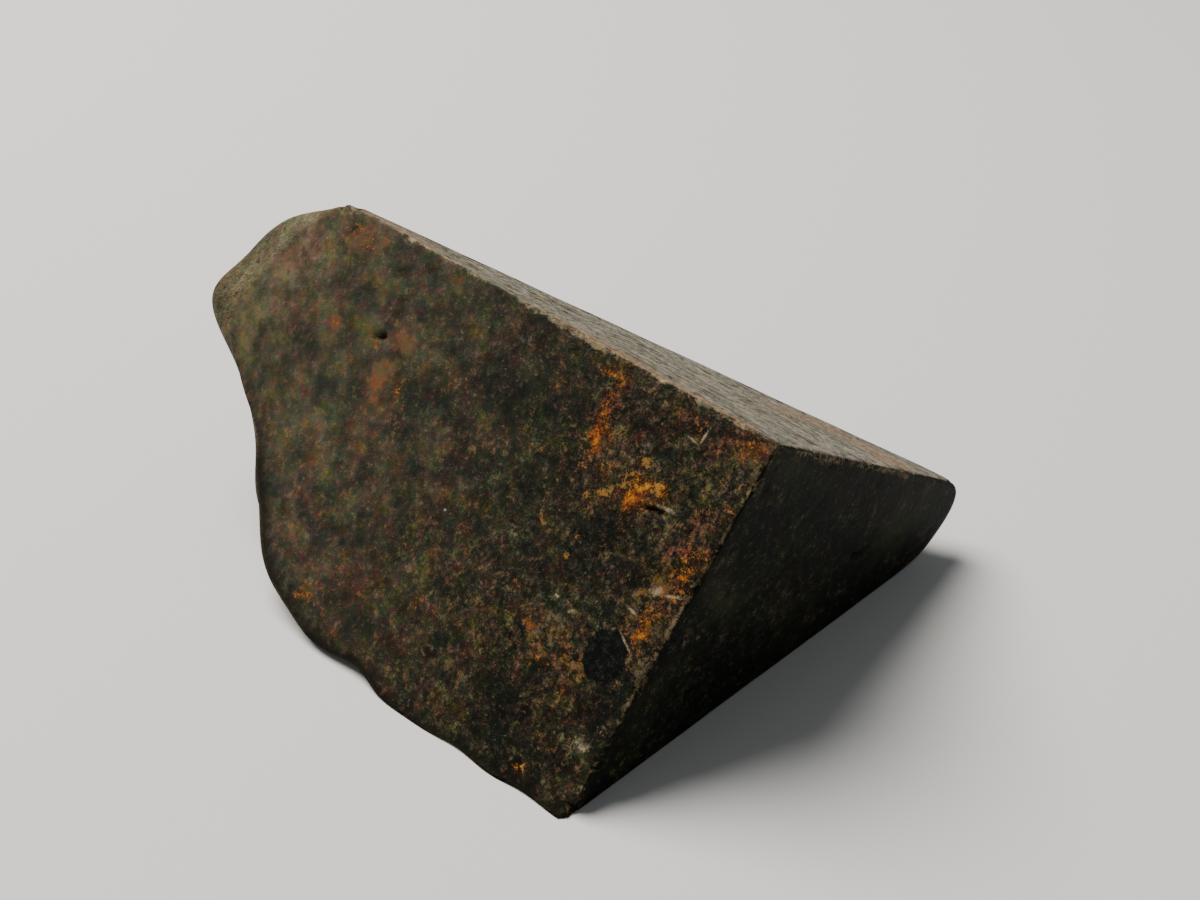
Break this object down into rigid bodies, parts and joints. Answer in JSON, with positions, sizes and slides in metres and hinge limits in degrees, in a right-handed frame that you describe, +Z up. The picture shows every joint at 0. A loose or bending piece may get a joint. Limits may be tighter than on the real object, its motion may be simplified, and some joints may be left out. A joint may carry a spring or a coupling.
{
  "type": "chondrite meteorite",
  "caption": "Corner piece sawn from a stony meteorite: flat saw cuts meet at one sharp corner, and the rest is rounded, weathered outside. Lies on a flat spot.",
  "frame": {"origin": "on the table, under the middle of the stone's bounding box", "axes": "+X along the stone's length towards its right end, +Y away from the front saw cuts, +Z up from the table"},
  "size_m": [0.0422, 0.0312, 0.0185],
  "materials": {
    "stone": "matt saw-cut and weathered stone, dark brown and black with orange rust stains"
  },
  "bodies": {
    "root": {"meteorite": "stone"}
  },
  "joints": []
}
